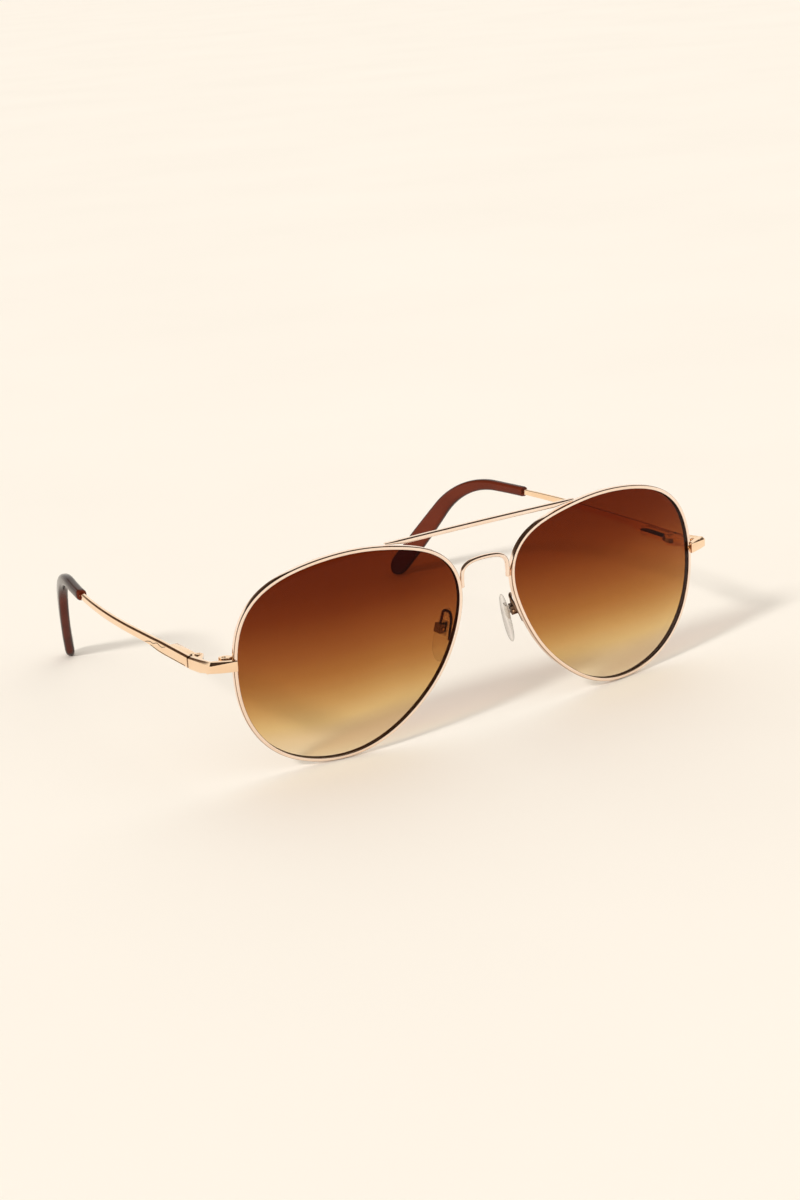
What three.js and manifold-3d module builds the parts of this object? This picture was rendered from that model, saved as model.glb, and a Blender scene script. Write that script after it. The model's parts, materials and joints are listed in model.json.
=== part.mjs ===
// Metal aviator sunglasses with spring hinges, as the separate pieces they come apart into.
// Millimetres. +X is the wearer's left, -Y the way the lenses face, +Z up.
// The glasses stand open on their rims and temple tips, on the plane Z = 0.
import * as THREE from "three";
import { mergeVertices } from "three/addons/utils/BufferGeometryUtils.js";
import Module from "manifold-3d";

const wasm = await Module();
wasm.setup();

const radians = THREE.MathUtils.degToRad;
const v2 = (x, y) => new THREE.Vector2(x, y);
const v3 = (x, y, z) => new THREE.Vector3(x, y, z);

// ---- Driving dimensions ----

// Lenses: the opening inside each rim is 58 wide and 49 high.
const LENS_CENTRE_X = 37.3;
const LENS_WRAP = radians(5.8);
const LENS_RADIUS = 120;
const LENS_THICKNESS = 1.3;
const BEVEL_HEIGHT = 0.35;
const LENS_EDGE_HALF = 0.39;
const LENS_RING_SHARES = [0.3, 0.7];
const OUTLINE_STEPS = 56;

// The opening's outline seen from in front, in millimetres from the lens centre: outwards, then up.
const LENS_OUTLINE = [
  [29.0, 0.4],
  [27.8, 10.1],
  [24.9, 15.8],
  [19.9, 20.0],
  [10.3, 23.4],
  [0.3, 24.5],
  [-10.0, 23.8],
  [-20.4, 21.0],
  [-25.7, 17.7],
  [-28.5, 13.1],
  [-28.8, 6.4],
  [-24.1, -5.8],
  [-17.5, -14.0],
  [-9.1, -20.5],
  [2.3, -24.4],
  [15.0, -22.6],
  [22.6, -17.6],
  [27.4, -9.4],
];

// Rim wire: a channel that holds the lens, split behind the endpiece.
const RIM_WIDTH = 0.95;
const RIM_DEPTH = 1.7;
const RIM_CHAMFER = 0.18;
const GROOVE_DEPTH = 0.45;
const GROOVE_HALF = 0.4;
const RIM_SPLIT_HEIGHT = 3.5;
const RIM_SPLIT_GAP = 0.3;

// Closing block behind the endpiece: a lug on each end of the rim wire, and the screw that draws
// them together from below. LUG_PLAN is the block's outline seen from above.
const LUG_PLAN = [
  [65.9, 7.42],
  [66.8, 7.46],
  [66.9, 7.25],
  [68.9, 7.75],
  [68.9, 9.1],
  [68.5, 9.5],
  [67.0, 9.4],
  [65.9, 8.3],
];
const LUG_SCREW = [67.85, 8.4];
const LUG_SCREW_RADIUS = 0.45;
const LUG_THREAD_CLEARANCE = 0.1;
const LUG_BOTTOM = 2.2;
const LUG_TOP = 4.9;

// Bridge wire, and the top bar with its thinned ends.
const BRIDGE_RADIUS = 0.55;
const BRIDGE_HALF_PATH = [
  [6.55, 1.05, 9.9],
  [6.6, 1.1, 12.2],
  [6.2, 1.1, 14.4],
  [4.5, 1.0, 15.8],
];
const BRIDGE_TOP = [0, 0.9, 16.4];
const BAR_HALF_LENGTH = 27.2;
const BAR_HEIGHT = 1.35;
const BAR_DEPTH = 1.2;
const BAR_TOP_HEIGHT = 25.35;
const BAR_CUT = 0.25;
const BAR_END_HEIGHT = 0.45;
const BAR_END_CUT = 0.13;
const BAR_MIDDLE_Y = 2.2;
const BAR_BOW = 0.45;
const BAR_STATIONS = [12, 21.5];

// Endpiece: a strip bent back from the rim to the hinge.
const STRIP_THICKNESS = 1.3;
const CORNER_X = 72.35;

// Hinge: its pin stands square to the temple.
const PIN_POSITION = [69.65, 18, 1.95];
const TEMPLE_SLOPE = radians(1.0);
const PIN_RADIUS = 0.5;
const RUNNING_CLEARANCE = 0.05;
const KNUCKLE_RADIUS = 1.35;
const LEAF_ARC_END = radians(215);
const LEAF_TAIL_X = [0.55, 1.4];
const LEAF_TAIL_START = -3.2;
const LEAF_TAIL_END = -7;
const LEAF_SHOULDER = -0.6;
const LEAF_SLOT_FLOOR = -1.75;
const HINGE_SCREW_HEAD_RADIUS = 0.85;
const HINGE_SCREW_HEAD_HEIGHT = 0.4;
const HINGE_SCREW_HEAD_RISE = 0.15;
const HINGE_HALF_HEIGHT = 1.35;
const EYE_HALF_HEIGHT = 0.5;
const EYE_CLEARANCE = 0.06;

// Spring case, soldered inside the temple, and the sprung slider in it.
const CASE_START = 1.75;
const CASE_END = 13.4;
const CASE_INNER_X = -1.25;
const CASE_HALF_HEIGHT = 1.2;
const CASE_WALL_END = 4.2;
const CASE_BORE_RADIUS = 0.95;
const CASE_BORE_END = 10.9;
const CASE_CHAMFER = 0.85;
const CASE_NOSE_LENGTH = 2.3;
const CASE_NOSE_SHARE = 0.45;
const NECK_START = 0.5;
const NECK_HALF_WIDTH = 0.7;
const SHAFT_RADIUS = 0.45;
const SHAFT_END = 10.3;
const RETAINER_THICKNESS = 0.9;
const RETAINER_SETBACK = 0.3;
const SPRING_WIRE_RADIUS = 0.13;
const SPRING_RADIUS = 0.68;
const SPRING_TURNS = 8;
const SPRING_END_GAP = 0.03;

// Temple: distances along it are from the hinge pin.
const TEMPLE_X = 2.15;
const BOW_START = 30;
const BOW_RADIUS = 220;
const BEND_START = 77;
const BEND_RADIUS = 28;
const BEND_ANGLE = radians(50);
const TIP_LEAN = 1.8;
const TEMPLE_LENGTH = 129.74;
const TIP_START = 65.5;
const CORE_END = 118;
const CORE_RADIUS = 0.6;
const CORE_STEPS = 10;
const TIP_BORE_RADIUS = 0.68;
const TIP_HALF_WIDTH = [1.35, 1.3];
const TIP_HALF_HEIGHT = [1.4, 2.85];
const TIP_WIDENING = [0.1, 0.85];
const TIP_ROUND_START = 0.93;
const TIP_STEPS = 18;

// Nose pads: place and lean of the pad, then its own size.
const PAD_CENTRE = [9.3, 6.3, -2.75];
const PAD_UP = v3(-0.245, -0.08, 0.966).normalize();
const PAD_FRONTAL_ANGLE = radians(15);
const PAD_LENGTH = 13.6;
const PAD_WIDTH = 5.4;
const PAD_TAPER = 0.15;
const PAD_MOUNT_HEIGHT = 1.9;
const PAD_SCREW_OFFSET = -1.9;
const PAD_SCREW_RADIUS = 0.35;
const PAD_ARM_RADIUS = 0.36;
const PAD_ARM_PATH = [
  [10.9, 1.5, -2.6],
  [10.2, 1.9, -0.6],
  [9.1, 2.8, 2.0],
  [8.9, 3.9, 3.5],
  [9.7, 4.9, 3.6],
];

// Joint gap between soldered or clamped pieces, and how far a cutting tool runs past its piece.
const JOINT_GAP = 0.05;
const CUT_REACH = 3;

// Turn that stands the frame on its rims and tips.
const REST_TILT = radians(2.984);

// ---- Materials ----

const metal = (color, roughness) =>
  new THREE.MeshStandardMaterial({ color, roughness, metalness: 1 });
const plastic = (color, roughness) =>
  new THREE.MeshStandardMaterial({ color, roughness, metalness: 0 });

const roseGold = metal(0xf0b890, 0.22);
const springSteel = metal(0xb8b6b2, 0.35);
const screwMetal = metal(0xd9a47c, 0.3);
const tipPlastic = plastic(0x3c1410, 0.25);
const coreMetal = metal(0xd8d5d0, 0.3);
const lensTint = new THREE.MeshStandardMaterial({
  color: 0x7a3c18,
  roughness: 0.05,
  metalness: 0,
  transparent: true,
  opacity: 0.8,
});
const clearSilicone = new THREE.MeshStandardMaterial({
  color: 0xf4efe6,
  roughness: 0.2,
  metalness: 0,
  transparent: true,
  opacity: 0.45,
});

// ---- Solids ----

// Geometry from points and triangles, turned so that its faces point out.
function geometryFrom(points, triangles) {
  let volume = 0;
  for (const [a, b, c] of triangles) {
    volume += points[a].dot(points[b].clone().cross(points[c]));
  }
  const outward = volume > 0 ? triangles : triangles.map(([a, b, c]) => [a, c, b]);
  const geometry = new THREE.BufferGeometry().setFromPoints(points);
  geometry.setIndex(outward.flat());
  return geometry;
}

// A solid lofted through rings of equal length. Each end is closed by a fan about its middle,
// or by endFaces, a list of triangles over one ring.
function loft(rings, endFaces) {
  const count = rings[0].length;
  const points = rings.flat();
  const triangles = [];
  for (let ring = 0; ring < rings.length - 1; ring++) {
    for (let i = 0; i < count; i++) {
      const a = ring * count + i;
      const b = ring * count + ((i + 1) % count);
      triangles.push([a, b, b + count], [a, b + count, a + count]);
    }
  }
  [0, rings.length - 1].forEach((ring) => {
    const first = ring * count;
    const turn = ([a, b, c]) => (ring === 0 ? [a, c, b] : [a, b, c]);
    if (endFaces) {
      endFaces.forEach((face) => triangles.push(turn(face.map((i) => first + i))));
      return;
    }
    const middle = rings[ring].reduce((sum, p) => sum.add(p), v3(0, 0, 0));
    points.push(middle.divideScalar(count));
    for (let i = 0; i < count; i++) {
      triangles.push(turn([first + i, first + ((i + 1) % count), points.length - 1]));
    }
  });
  return geometryFrom(points, triangles);
}

// The manifold-3d solid of a closed geometry.
function toManifold(geometry) {
  const bare = geometry.clone();
  bare.deleteAttribute("normal");
  bare.deleteAttribute("uv");
  const merged = mergeVertices(bare, 1e-5);
  return new wasm.Manifold(
    new wasm.Mesh({
      numProp: 3,
      vertProperties: new Float32Array(merged.attributes.position.array),
      triVerts: new Uint32Array(merged.index.array),
    }),
  );
}

function fromManifold(solid) {
  const mesh = solid.getMesh();
  const geometry = new THREE.BufferGeometry();
  geometry.setAttribute("position", new THREE.BufferAttribute(mesh.vertProperties, 3));
  geometry.setIndex(new THREE.BufferAttribute(mesh.triVerts, 1));
  return geometry;
}

const subtract = (from, ...tools) =>
  fromManifold(tools.reduce((left, tool) => left.subtract(toManifold(tool)), toManifold(from)));
const join = (first, ...others) =>
  fromManifold(others.reduce((sum, other) => sum.add(toManifold(other)), toManifold(first)));

// A box between two corners.
function box(low, high) {
  const size = high.map((value, axis) => value - low[axis]);
  const middle = high.map((value, axis) => (value + low[axis]) / 2);
  return new THREE.BoxGeometry(...size).translate(...middle);
}

// A plan outline in X and Y raised from one height to another.
function raised(outline, bottom, top, curveSegments = 8) {
  const shape = Array.isArray(outline) ? new THREE.Shape(outline) : outline;
  const settings = { depth: top - bottom, bevelEnabled: false, curveSegments };
  return new THREE.ExtrudeGeometry(shape, settings).translate(0, 0, bottom);
}

// A cylinder from one height to another; its axis stands on (x, y) along Z.
function upright(radius, bottom, top, x = 0, y = 0, segments = 16) {
  return new THREE.CylinderGeometry(radius, radius, top - bottom, segments)
    .rotateX(Math.PI / 2)
    .translate(x, y, (top + bottom) / 2);
}

// A cylinder along Y about X = Z = 0.
function along(radius, start, end, segments = 16) {
  return new THREE.CylinderGeometry(radius, radius, end - start, segments).translate(
    0,
    (start + end) / 2,
    0,
  );
}

// A slotted screw on the Z axis: its head's top at headTop and its end at tip.
function screw({ shankRadius, headRadius, headTop, headHeight, tip }) {
  const under = headTop - headHeight;
  const profile = [
    v2(0, tip),
    v2(shankRadius * 0.7, tip),
    v2(shankRadius, tip + shankRadius * 0.3),
    v2(shankRadius, under),
    v2(headRadius, under),
    v2(headRadius, headTop - headHeight * 0.3),
    v2(headRadius * 0.8, headTop),
    v2(0, headTop),
  ];
  const body = new THREE.LatheGeometry(profile, 14).rotateX(Math.PI / 2);
  const slotHalf = headRadius * 0.16;
  const slot = box(
    [-2 * headRadius, -slotHalf, headTop - headHeight * 0.5],
    [2 * headRadius, slotHalf, headTop + CUT_REACH],
  );
  return subtract(body, slot);
}

// ---- Lens outline ----

const outlineCurve = new THREE.CatmullRomCurve3(
  LENS_OUTLINE.map(([u, v]) => v3(u, v, 0)),
  true,
  "centripetal",
);

// Depth of the lens surface behind its front point.
const sagAt = (u, v) => (u * u + v * v) / (2 * LENS_RADIUS);

// Points of the outline with their outward directions, from one side of the rim's split round to
// the other. Rim and lens share them, so that their faces run side by side.
function outlineStations() {
  const from = outerFractionAt(RIM_SPLIT_HEIGHT + RIM_SPLIT_GAP / 2);
  const to = outerFractionAt(RIM_SPLIT_HEIGHT - RIM_SPLIT_GAP / 2) + 1;
  return Array.from({ length: OUTLINE_STEPS }, (_, i) => {
    const at = (from + ((to - from) * i) / (OUTLINE_STEPS - 1) + 1) % 1;
    const point = outlineCurve.getPointAt(at);
    const tangent = outlineCurve.getTangentAt(at);
    return { point, outward: v3(tangent.y, -tangent.x, 0) };
  });
}

// A point at a distance outside the outline and a depth behind the lens surface there.
function rimPoint({ point, outward }, distance, depth) {
  const u = point.x + outward.x * distance;
  const v = point.y + outward.y * distance;
  return v3(u, sagAt(point.x, point.y) + depth, v);
}

// The curve fraction where the outline crosses a height on its outer side.
function outerFractionAt(height) {
  let low = -0.1;
  let high = 0.15;
  for (let i = 0; i < 40; i++) {
    const middle = (low + high) / 2;
    const point = outlineCurve.getPointAt((middle + 1) % 1);
    if (point.y < height) {
      low = middle;
    } else {
      high = middle;
    }
  }
  return low;
}

function makeRim() {
  const half = RIM_DEPTH / 2;
  const section = [
    v2(0, -half),
    v2(RIM_WIDTH - RIM_CHAMFER, -half),
    v2(RIM_WIDTH, -half + RIM_CHAMFER),
    v2(RIM_WIDTH, half - RIM_CHAMFER),
    v2(RIM_WIDTH - RIM_CHAMFER, half),
    v2(0, half),
    v2(0, GROOVE_HALF),
    v2(GROOVE_DEPTH, 0),
    v2(0, -GROOVE_HALF),
  ];
  const rings = outlineStations().map((station) =>
    section.map((p) => rimPoint(station, p.x, p.y)),
  );
  return loft(rings, THREE.ShapeUtils.triangulateShape(section, []));
}

function makeLens() {
  const stations = outlineStations();
  const half = LENS_THICKNESS / 2;
  const inner = -JOINT_GAP;
  const face = (share, depth) =>
    stations.map(({ point }) => {
      const u = point.x * share;
      const v = point.y * share;
      return v3(u, sagAt(u, v) + depth, v);
    });
  const edge = (distance, depth) =>
    stations.map((station) => rimPoint(station, distance, depth));
  return loft([
    ...LENS_RING_SHARES.map((share) => face(share, -half)),
    edge(inner, -half),
    edge(inner, -LENS_EDGE_HALF),
    edge(BEVEL_HEIGHT, 0),
    edge(inner, LENS_EDGE_HALF),
    edge(inner, half),
    ...LENS_RING_SHARES.map((share) => face(share, half)).reverse(),
  ]);
}

// ---- Closing block: each lug is soldered behind and beside its end of the rim wire ----

function makeLug(bottom, top, holeRadius) {
  const plan = LUG_PLAN.map(([x, y]) => v2(x, y));
  const hole = upright(holeRadius, bottom - CUT_REACH, top + CUT_REACH, ...LUG_SCREW);
  return subtract(raised(plan, bottom, top), hole);
}

// The closing screw: its head is under the block and its end shows in the top.
function makeLockScrew() {
  const upsideDown = screw({
    shankRadius: LUG_SCREW_RADIUS,
    headRadius: 0.8,
    headTop: 0.4 - LUG_BOTTOM,
    headHeight: 0.35,
    tip: 0.12 - LUG_TOP,
  });
  return upsideDown.rotateX(Math.PI).translate(...LUG_SCREW, 0);
}

// ---- Endpiece ----

// Sections from the rim round the corner to the hinge: [x, y] of the outer and inner faces, then
// the heights of the underside, the outer top edge and the inner top edge. A thin lap covers the
// front of the rim wire, and the top is bevelled at the corner.
const ENDPIECE_SECTIONS = [
  { outer: [66.2, 4.85], inner: [66.2, 5.44], under: 2.0, outerTop: 4.6, innerTop: 4.6 },
  { outer: [66.94, 5.05], inner: [66.94, 5.52], under: 2.0, outerTop: 4.6, innerTop: 4.6 },
  { outer: [66.98, 5.06], inner: [66.98, 7.02], under: 2.0, outerTop: 4.6, innerTop: 4.35 },
  { outer: [69.9, 5.98], inner: [69.6, 7.62], under: 2.1, outerTop: 4.35, innerTop: 4.4 },
  { outer: [CORNER_X, 6.9], inner: [71.07, 7.95], under: 2.3, outerTop: 4.1, innerTop: 4.8 },
  { outer: [72.39, 9.4], inner: [71.09, 9.4], under: 1.75, outerTop: 4.05, innerTop: 4.15 },
  { outer: [72.42, 12], inner: [71.12, 12], under: 1.1, outerTop: 3.8, innerTop: 3.8 },
  { outer: [72.48, 17.97], inner: [71.18, 17.97], under: 0.5, outerTop: 3.4, innerTop: 3.4 },
];

function makeEndpiece() {
  const rings = ENDPIECE_SECTIONS.map(({ outer, inner, under, outerTop, innerTop }) => [
    v3(...outer, under),
    v3(...outer, outerTop),
    v3(...inner, innerTop),
    v3(...inner, under),
  ]);
  return loft(rings);
}

// ---- Hinge, in the temple's frame: the pin is the Z axis and the temple runs along +Y ----

function makeHingeLeaf() {
  const plan = new THREE.Shape();
  const [tailInner, tailOuter] = LEAF_TAIL_X;
  plan.absarc(0, 0, KNUCKLE_RADIUS, 0, LEAF_ARC_END, false);
  plan.lineTo(tailInner, LEAF_TAIL_START);
  plan.lineTo(tailInner, LEAF_TAIL_END);
  plan.lineTo(tailOuter, LEAF_TAIL_END);
  plan.lineTo(tailOuter, LEAF_SHOULDER);
  const leaf = raised(plan, -HINGE_HALF_HEIGHT, HINGE_HALF_HEIGHT, 14);
  const slotHalf = EYE_HALF_HEIGHT + EYE_CLEARANCE;
  const slot = box([-CUT_REACH, LEAF_SLOT_FLOOR, -slotHalf], [CUT_REACH, CUT_REACH, slotHalf]);
  const hole = upright(PIN_RADIUS + RUNNING_CLEARANCE, -CUT_REACH, CUT_REACH);
  const headUnder = HINGE_HALF_HEIGHT + HINGE_SCREW_HEAD_RISE - HINGE_SCREW_HEAD_HEIGHT;
  const recess = upright(HINGE_SCREW_HEAD_RADIUS + JOINT_GAP, headUnder - JOINT_GAP, CUT_REACH);
  return subtract(leaf, slot, hole, recess);
}

const makeHingeScrew = () =>
  screw({
    shankRadius: PIN_RADIUS,
    headRadius: HINGE_SCREW_HEAD_RADIUS,
    headTop: HINGE_HALF_HEIGHT + HINGE_SCREW_HEAD_RISE,
    headHeight: HINGE_SCREW_HEAD_HEIGHT,
    tip: JOINT_GAP - HINGE_HALF_HEIGHT,
  });

function makeSlider() {
  const eye = upright(KNUCKLE_RADIUS - JOINT_GAP, -EYE_HALF_HEIGHT, EYE_HALF_HEIGHT);
  const neck = box(
    [-NECK_HALF_WIDTH, NECK_START, -EYE_HALF_HEIGHT],
    [NECK_HALF_WIDTH, CASE_WALL_END - 0.2, EYE_HALF_HEIGHT],
  );
  const shaft = along(SHAFT_RADIUS, CASE_WALL_END - 0.4, SHAFT_END);
  const hole = upright(PIN_RADIUS + RUNNING_CLEARANCE, -CUT_REACH, CUT_REACH);
  return subtract(join(eye, neck, shaft), hole);
}

function makeRetainer() {
  const end = SHAFT_END - RETAINER_SETBACK;
  const nut = along(CASE_BORE_RADIUS - 2 * JOINT_GAP, end - RETAINER_THICKNESS, end, 6);
  return subtract(nut, along(SHAFT_RADIUS + JOINT_GAP, end - CUT_REACH, end + CUT_REACH));
}

// Compression spring round the slider's shaft, between the case's front wall and the retainer.
class Coil extends THREE.Curve {
  constructor(radius, start, end, turns) {
    super();
    Object.assign(this, { radius, start, end, turns });
  }

  getPoint(t, target = v3(0, 0, 0)) {
    const angle = 2 * Math.PI * this.turns * t;
    const y = this.start + (this.end - this.start) * t;
    return target.set(this.radius * Math.cos(angle), y, this.radius * Math.sin(angle));
  }
}

function makeSpring() {
  const inset = SPRING_WIRE_RADIUS + SPRING_END_GAP;
  const start = CASE_WALL_END + inset;
  const end = SHAFT_END - RETAINER_SETBACK - RETAINER_THICKNESS - inset;
  const coil = new Coil(SPRING_RADIUS, start, end, SPRING_TURNS);
  const wire = new THREE.Shape().absarc(0, 0, SPRING_WIRE_RADIUS, 0, 2 * Math.PI, false);
  return new THREE.ExtrudeGeometry(wire, {
    steps: SPRING_TURNS * 8,
    extrudePath: coil,
    curveSegments: 2,
    bevelEnabled: false,
  });
}

function makeSpringCase() {
  const inner = CASE_INNER_X;
  const outer = TEMPLE_X - STRIP_THICKNESS / 2 - JOINT_GAP;
  const half = CASE_HALF_HEIGHT;
  const section = (y, shrink) =>
    [
      [outer, -half],
      [outer, half],
      [inner + CASE_CHAMFER, half],
      [inner, half - CASE_CHAMFER],
      [inner, -half + CASE_CHAMFER],
      [inner + CASE_CHAMFER, -half],
    ].map(([x, z]) => v3(outer + (x - outer) * shrink, y, z * shrink));
  const shell = loft([
    section(CASE_START, 1),
    section(CASE_END - CASE_NOSE_LENGTH, 1),
    section(CASE_END, CASE_NOSE_SHARE),
  ]);
  const holeHalfWidth = NECK_HALF_WIDTH + RUNNING_CLEARANCE;
  const holeHalfHeight = EYE_HALF_HEIGHT + RUNNING_CLEARANCE;
  const neckHole = box(
    [-holeHalfWidth, 0, -holeHalfHeight],
    [holeHalfWidth, CASE_WALL_END + 0.1, holeHalfHeight],
  );
  return subtract(shell, neckHole, along(CASE_BORE_RADIUS, CASE_WALL_END, CASE_BORE_END));
}

// ---- Temple ----

// Distance out along the temple and height at a length s from the pin, before it is bowed.
function sideProfile(s) {
  const bend = Math.min(Math.max((s - BEND_START) / BEND_RADIUS, 0), BEND_ANGLE);
  const straight = Math.min(s, BEND_START);
  const tail = Math.max(s - BEND_START - BEND_RADIUS * BEND_ANGLE, 0);
  return {
    out: straight + BEND_RADIUS * Math.sin(bend) + tail * Math.cos(bend),
    height: -BEND_RADIUS * (1 - Math.cos(bend)) - tail * Math.sin(bend),
    bend,
  };
}

// The temple's centre at a length s, with its directions: upright across it, and sideways. The
// tip leans in towards the head from its bend on.
function templeStation(s) {
  const { out, height, bend } = sideProfile(s);
  const turn = Math.max(out - BOW_START, 0) / BOW_RADIUS;
  const level = v3(-Math.sin(turn), Math.cos(turn), 0);
  const side = v3(Math.cos(turn), Math.sin(turn), 0);
  const pastBend = Math.max(s - BEND_START, 0) / (TEMPLE_LENGTH - BEND_START);
  const centre = v3(
    TEMPLE_X - BOW_RADIUS * (1 - Math.cos(turn)),
    Math.min(out, BOW_START) + BOW_RADIUS * Math.sin(turn),
    height,
  ).addScaledVector(side, -TIP_LEAN * pastBend * pastBend);
  const up = v3(0, 0, 1);
  return {
    centre,
    side,
    upright: up.clone().multiplyScalar(Math.cos(bend)).addScaledVector(level, Math.sin(bend)),
  };
}

// A ring about the temple's centre line. Section points are [sideways, upright].
function templeRing(s, section) {
  const station = templeStation(s);
  return section.map(([a, b]) =>
    station.centre
      .clone()
      .addScaledVector(station.side, a)
      .addScaledVector(station.upright, b),
  );
}

// A rectangle with cut corners.
function cutRectangle(halfWide, halfHigh, cut) {
  return [
    [halfWide, -halfHigh + cut],
    [halfWide, halfHigh - cut],
    [halfWide - cut, halfHigh],
    [-halfWide + cut, halfHigh],
    [-halfWide, halfHigh - cut],
    [-halfWide, -halfHigh + cut],
    [-halfWide + cut, -halfHigh],
    [halfWide - cut, -halfHigh],
  ];
}

// Eight corners on a circle, starting at the side and just under the middle.
const octagon = (radius) =>
  Array.from({ length: 8 }, (_, i) => {
    const angle = (i - 0.5) * (Math.PI / 4);
    return [radius * Math.cos(angle), radius * Math.sin(angle)];
  });

// Temple sections: length, half thickness, heights of the under and upper edges, corner cut.
// The plate behind the hinge steps up in a short ramp to the narrower bar.
const TEMPLE_SECTIONS = [
  { s: 0.03, half: 0.65, under: -1.45, upper: 1.45, cut: 0.15 },
  { s: 14, half: 0.65, under: -1.45, upper: 1.45, cut: 0.15 },
  { s: 17, half: 0.65, under: -1.2, upper: 1.4, cut: 0.2 },
  { s: 20, half: 0.65, under: -0.75, upper: 1.3, cut: 0.25 },
  { s: 32, half: 0.62, under: -0.8, upper: 1.1, cut: 0.25 },
  { s: 44, half: 0.6, under: -0.85, upper: 0.95, cut: 0.25 },
  { s: 55, half: 0.58, under: -0.8, upper: 0.85, cut: 0.25 },
  { s: TIP_START - 0.2, half: 0.56, under: -0.75, upper: 0.75, cut: 0.25 },
];

function makeTemple() {
  const bar = TEMPLE_SECTIONS.map(({ s, half, under, upper, cut }) => {
    const middle = (under + upper) / 2;
    const section = cutRectangle(half, (upper - under) / 2, cut);
    return templeRing(
      s,
      section.map(([a, b]) => [a, b + middle]),
    );
  });
  const core = Array.from({ length: CORE_STEPS + 1 }, (_, i) => {
    const from = TIP_START - 0.1;
    return templeRing(from + ((CORE_END - from) * i) / CORE_STEPS, octagon(CORE_RADIUS));
  });
  return loft([...bar, ...core]);
}

// Half width and half height of the tip at a share of its length, narrow in front and a flat
// paddle at its end.
function tipSize(share) {
  const widen = THREE.MathUtils.smoothstep(share, ...TIP_WIDENING);
  const end = Math.max(share - TIP_ROUND_START, 0) / (1 - TIP_ROUND_START);
  const round = Math.sqrt(Math.max(1 - end * end, 0.05));
  return {
    wide: THREE.MathUtils.lerp(...TIP_HALF_WIDTH, widen) * (0.4 + 0.6 * round),
    high: THREE.MathUtils.lerp(...TIP_HALF_HEIGHT, widen) * round,
  };
}

function makeTip() {
  const length = TEMPLE_LENGTH - TIP_START;
  const outside = Array.from({ length: TIP_STEPS + 1 }, (_, i) => {
    const share = 1 - i / TIP_STEPS;
    const { wide, high } = tipSize(share);
    return templeRing(
      TIP_START + share * length,
      cutRectangle(wide, high, 0.35 * Math.min(wide, high)),
    );
  });
  const boreLength = CORE_END + 0.5 - TIP_START;
  const inside = Array.from({ length: CORE_STEPS + 1 }, (_, i) =>
    templeRing(TIP_START + (boreLength * i) / CORE_STEPS, octagon(TIP_BORE_RADIUS)),
  );
  return loft([...outside, ...inside]);
}

// ---- Bridge and top bar ----

function sweep(path, radius, steps, segments) {
  const wire = new THREE.Shape().absarc(0, 0, radius, 0, 2 * Math.PI, false);
  return new THREE.ExtrudeGeometry(wire, {
    steps,
    extrudePath: path,
    curveSegments: segments / 2,
    bevelEnabled: false,
  });
}

function makeBridge() {
  const half = BRIDGE_HALF_PATH.map((point) => v3(...point));
  const other = BRIDGE_HALF_PATH.map(([x, y, z]) => v3(-x, y, z)).reverse();
  const path = new THREE.CatmullRomCurve3([...half, v3(...BRIDGE_TOP), ...other]);
  return sweep(path, BRIDGE_RADIUS, 28, 8);
}

function makeTopBar() {
  const beyond = [...BAR_STATIONS, BAR_HALF_LENGTH];
  const stations = [...beyond.map((x) => -x).reverse(), 0, ...beyond];
  const rings = stations.map((x) => {
    const share = Math.abs(x) / BAR_HALF_LENGTH;
    const y = BAR_MIDDLE_Y - BAR_BOW * share * share;
    const top = BAR_TOP_HEIGHT;
    const bottom = top - (share === 1 ? BAR_END_HEIGHT : BAR_HEIGHT);
    const half = BAR_DEPTH / 2;
    const cut = share === 1 ? BAR_END_CUT : BAR_CUT;
    return [
      v3(x, y - half, bottom + cut),
      v3(x, y - half, top - cut),
      v3(x, y - half + cut, top),
      v3(x, y + half - cut, top),
      v3(x, y + half, top - cut),
      v3(x, y + half, bottom + cut),
      v3(x, y + half - cut, bottom),
      v3(x, y - half + cut, bottom),
    ];
  });
  return loft(rings);
}

// ---- Nose pads: in the pad's frame +X faces the nose, +Y lies across the pad, +Z is its length ----

// Turns a solid made about the Z axis to lie across the pad, on the pad screw's axis.
const onPadScrew = (geometry) =>
  geometry.rotateX(Math.PI / 2).translate(PAD_SCREW_OFFSET, 0, PAD_MOUNT_HEIGHT);

// A box given from the middle of the mount, at the pad's mid plane.
const mountBox = (low, high) => box(low, high).translate(0, 0, PAD_MOUNT_HEIGHT);

function makePad() {
  const count = 24;
  const ring = (share, x) =>
    Array.from({ length: count }, (_, i) => {
      const angle = (2 * Math.PI * i) / count;
      const z = Math.sin(angle);
      const narrow = 1 - PAD_TAPER * z;
      const halfLength = (PAD_LENGTH / 2) * (1 - (1 - share) * 0.7);
      return v3(x, (PAD_WIDTH / 2) * Math.cos(angle) * narrow * share, halfLength * z);
    });
  const body = loft([
    ring(0.75, -0.75),
    ring(0.95, -0.6),
    ring(1, -0.25),
    ring(0.97, 0.15),
    ring(0.8, 0.5),
    ring(0.45, 0.75),
  ]);
  return subtract(body, mountBox([-2, -1.2, -1.9], [-0.1, 1.2, 1.9]));
}

function makePadCore() {
  const base = mountBox([-0.8, -1.1, -1.8], [-0.16, 1.1, 1.8]);
  const stem = mountBox([PAD_SCREW_OFFSET, -0.5, -0.55], [-0.5, 0.5, 0.55]);
  const eye = onPadScrew(upright(0.6, -0.5, 0.5));
  const holeRadius = PAD_SCREW_RADIUS + RUNNING_CLEARANCE;
  const hole = onPadScrew(upright(holeRadius, -CUT_REACH, CUT_REACH));
  return subtract(join(base, stem, eye), hole);
}

function makePadBox() {
  const outer = mountBox([-2.9, -1, -1.15], [-1.3, 1, 1.15]);
  const inner = mountBox([-2.6, -0.6, -0.9], [0, 0.6, 0.9]);
  const holeRadius = PAD_SCREW_RADIUS + JOINT_GAP;
  const hole = onPadScrew(upright(holeRadius, -CUT_REACH, CUT_REACH));
  return subtract(outer, inner, hole);
}

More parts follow.
